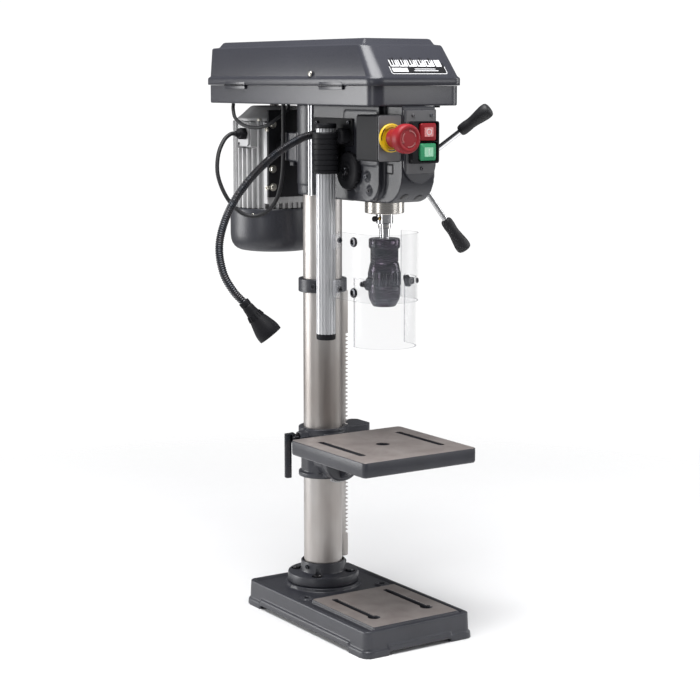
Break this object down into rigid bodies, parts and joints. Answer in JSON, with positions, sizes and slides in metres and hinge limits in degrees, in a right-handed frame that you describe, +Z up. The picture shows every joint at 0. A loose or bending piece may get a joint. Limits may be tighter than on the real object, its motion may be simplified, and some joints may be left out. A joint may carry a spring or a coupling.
{
  "type": "drill press",
  "caption": "Bench drill press: slotted base, round column with rack-lifted tilting table, belt-drive head, keyless chuck, chuck guard, feed handles and work lamp.",
  "frame": {"origin": "the point under the column's axis, on the face the base rests on", "axes": "+Z up along the column, -Y towards the operator, +X to the operator's right"},
  "size_m": [0.3766, 0.5205, 0.88],
  "materials": {
    "cast_paint": "satin hammered dark grey paint over cast iron",
    "cover_plastic": "satin dark grey moulding",
    "black_plastic": "satin",
    "ground_steel": "ground, lightly scratched",
    "machined_iron": "milled, bare, slightly browned",
    "chrome": "polished",
    "aluminium": "satin extruded or cast",
    "black_steel": "black oxide, oiled",
    "clear_sheet": "clear polycarbonate sheet",
    "rubber": "matt",
    "signal_red": "satin moulding",
    "signal_green": "translucent moulding",
    "signal_yellow": "satin moulding"
  },
  "bodies": {
    "frame": {"base": "cast_paint", "column_flange": "cast_paint", "column": "ground_steel", "rack_collar": "cast_paint", "head": "cast_paint", "pulley_tray": "cover_plastic", "estop_box": "black_plastic", "estop_ring": "signal_yellow", "switch_plate": "cast_paint", "switch_bezel": "black_plastic", "spring_cap": "black_plastic", "return_spring": "ground_steel", "guard_plate": "black_plastic", "guard_housing": "black_plastic", "idler_post": "ground_steel", "spindle_belt": "rubber", "motor_belt": "rubber", "head_cable": "rubber", "motor_cable": "rubber"},
    "rack": {"rack": "ground_steel"},
    "bracket": {"table_bracket": "cast_paint"},
    "table_gear": {"table_gear": "ground_steel"},
    "crank": {"table_crank": "black_steel"},
    "lock": {"table_lock": "black_steel"},
    "table": {"table": "machined_iron"},
    "quill": {"quill": "ground_steel", "quill_collar": "ground_steel", "bearing_lower": "ground_steel", "bearing_upper": "ground_steel"},
    "spindle": {"spindle": "chrome", "chuck_body": "black_steel"},
    "chuck_sleeve": {"chuck_sleeve": "black_steel"},
    "feed": {"feed_shaft": "ground_steel", "feed_hub": "cast_paint", "feed_rod_1": "chrome", "feed_grip_1": "rubber", "feed_rod_2": "chrome", "feed_grip_2": "rubber", "feed_rod_3": "chrome", "feed_grip_3": "rubber"},
    "spindle_pulley": {"spindle_pulley": "aluminium"},
    "idler": {"idler_pulley": "aluminium"},
    "motor": {"motor_plate": "black_plastic", "motor_body": "aluminium", "motor_fan_cover": "cast_paint", "motor_end_shield": "aluminium", "motor_gland": "black_plastic", "motor_terminal_cover": "aluminium"},
    "rotor": {"motor_rotor": "ground_steel", "motor_pulley": "aluminium", "motor_fan": "black_plastic"},
    "lid": {"pulley_lid": "cover_plastic"},
    "guard_arm": {"guard_bar": "aluminium", "guard_upper": "clear_sheet"},
    "guard_slide": {"guard_lower": "clear_sheet"},
    "lamp": {"lamp_hose": "black_steel", "lamp_head": "black_plastic"},
    "estop": {"estop_button": "signal_red"},
    "stop": {"stop_button": "signal_red"},
    "start": {"start_button": "signal_green"}
  },
  "joints": [
    {"name": "table_swing", "type": "hinge", "parent": "frame", "child": "rack", "pos_m": [0, 0, 0.28], "axis": [0, 0, 1], "range_deg": [-180, 180]},
    {"name": "table_lift", "type": "slide", "parent": "rack", "child": "bracket", "axis": [0, 0, 1], "range_m": [-0.13, 0.145]},
    {"name": "table_gear_turn", "type": "hinge", "parent": "bracket", "child": "table_gear", "pos_m": [0.0528, 0, 0.258], "axis": [0, 1, 0], "range_deg": [-700, 630]},
    {"name": "table_crank_turn", "type": "hinge", "parent": "bracket", "child": "crank", "pos_m": [0.06, 0.014, 0.235], "axis": [1, 0, 0], "range_deg": [-3730, 4160]},
    {"name": "table_lock_turn", "type": "hinge", "parent": "bracket", "child": "lock", "pos_m": [-0.05, -0.007, 0.276], "axis": [1, 0, 0], "range_deg": [-35, 110]},
    {"name": "table_tilt", "type": "hinge", "parent": "bracket", "child": "table", "pos_m": [0, -0.05, 0.243], "axis": [0, 1, 0], "range_deg": [-45, 45]},
    {"name": "quill_feed", "type": "slide", "parent": "frame", "child": "quill", "axis": [0, 0, -1], "range_m": [0, 0.05], "stiffness_N_per_m": 300, "springref_m": -0.2},
    {"name": "feed_turn", "type": "hinge", "parent": "frame", "child": "feed", "pos_m": [0.05, -0.137, 0.69], "axis": [1, 0, 0], "range_deg": [-1, 275]},
    {"name": "spindle_spin", "type": "hinge", "parent": "quill", "child": "spindle", "pos_m": [0, -0.168, 0.65], "axis": [0, 0, 1], "continuous": true},
    {"name": "chuck_tighten", "type": "hinge", "parent": "spindle", "child": "chuck_sleeve", "pos_m": [0, -0.168, 0.53], "axis": [0, 0, 1], "range_deg": [0, 1080]},
    {"name": "spindle_pulley_spin", "type": "hinge", "parent": "frame", "child": "spindle_pulley", "pos_m": [0, -0.168, 0.82], "axis": [0, 0, 1], "continuous": true},
    {"name": "idler_spin", "type": "hinge", "parent": "frame", "child": "idler", "pos_m": [0, -0.008, 0.82], "axis": [0, 0, 1], "continuous": true},
    {"name": "motor_tension", "type": "slide", "parent": "frame", "child": "motor", "axis": [0, -1, 0], "range_m": [0, 0.012], "deforming": ["motor_belt", "motor_cable"]},
    {"name": "rotor_spin", "type": "hinge", "parent": "motor", "child": "rotor", "pos_m": [0, 0.142, 0.7], "axis": [0, 0, 1], "continuous": true},
    {"name": "lid_open", "type": "hinge", "parent": "frame", "child": "lid", "pos_m": [-0.08, 0, 0.8133], "axis": [0, -1, 0], "range_deg": [0, 95]},
    {"name": "guard_swing", "type": "hinge", "parent": "frame", "child": "guard_arm", "pos_m": [-0.066, -0.113, 0.6], "axis": [0, 0, 1], "range_deg": [-80, 0]},
    {"name": "guard_height", "type": "slide", "parent": "guard_arm", "child": "guard_slide", "axis": [0, 0, 1], "range_m": [0, 0.06]},
    {"name": "lamp_swing", "type": "hinge", "parent": "frame", "child": "lamp", "pos_m": [-0.042, -0.06, 0.742], "axis": [1, 0, 0], "range_deg": [-40, 20]},
    {"name": "estop_press", "type": "slide", "parent": "frame", "child": "estop", "axis": [0, 1, 0], "range_m": [0, 0.005]},
    {"name": "stop_press", "type": "slide", "parent": "frame", "child": "stop", "axis": [0, 1, 0], "range_m": [0, 0.003], "stiffness_N_per_m": 400, "springref_m": -0.002},
    {"name": "start_press", "type": "slide", "parent": "frame", "child": "start", "axis": [0, 1, 0], "range_m": [0, 0.003], "stiffness_N_per_m": 400, "springref_m": -0.002}
  ],
  "couplings": [
    {"joint": "table_gear_turn", "follows": "table_lift", "rad_per_m": -83.333},
    {"joint": "table_crank_turn", "follows": "table_lift", "rad_per_m": 500},
    {"joint": "feed_turn", "follows": "quill_feed", "rad_per_m": 95.238},
    {"joint": "spindle_pulley_spin", "follows": "spindle_spin", "ratio": 1},
    {"joint": "idler_spin", "follows": "spindle_spin", "ratio": 0.81818},
    {"joint": "rotor_spin", "follows": "spindle_spin", "ratio": 0.66942}
  ]
}
